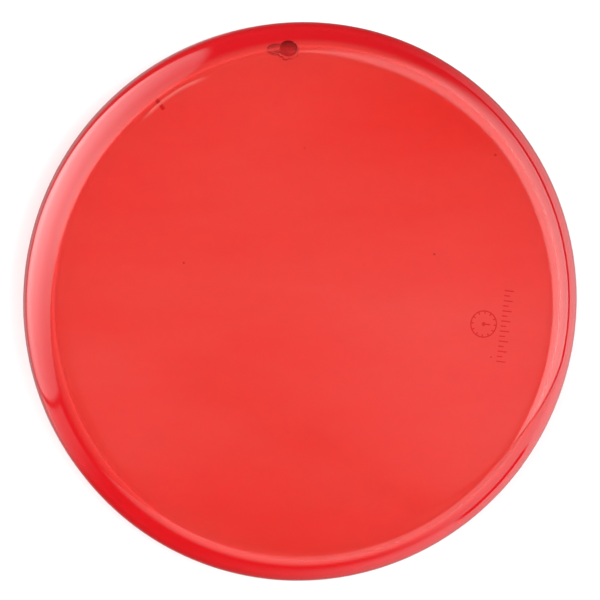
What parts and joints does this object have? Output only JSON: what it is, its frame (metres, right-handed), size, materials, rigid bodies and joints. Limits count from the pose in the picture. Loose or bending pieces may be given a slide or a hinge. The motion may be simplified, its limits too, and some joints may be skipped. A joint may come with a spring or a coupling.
{
  "type": "flying disc",
  "caption": "Translucent glossy flying disc for throwing: flat plate, rounded shoulder, and a rim with an inward lip that the fingers hook under.",
  "frame": {"origin": "centre of the ring that the disc stands on, on the floor plane", "axes": "+Z along the disc's axis, from the open underside to the plate; +Y towards the gate vestige; +X towards the round dial on the underside"},
  "size_m": [0.235, 0.235, 0.025],
  "materials": {
    "plate_plastic": "glossy, translucent orange-red where it is thin",
    "rim_plastic": "glossy, translucent, deep crimson where it is thick",
    "gate_plastic": "dark crimson, dull and torn"
  },
  "bodies": {
    "root": {"flight_plate": "plate_plastic", "shoulder": "plate_plastic", "rim": "rim_plastic", "gate_vestige": "gate_plastic", "mould_dial": "plate_plastic", "mould_scale": "plate_plastic", "vent_marks": "plate_plastic"}
  },
  "joints": []
}
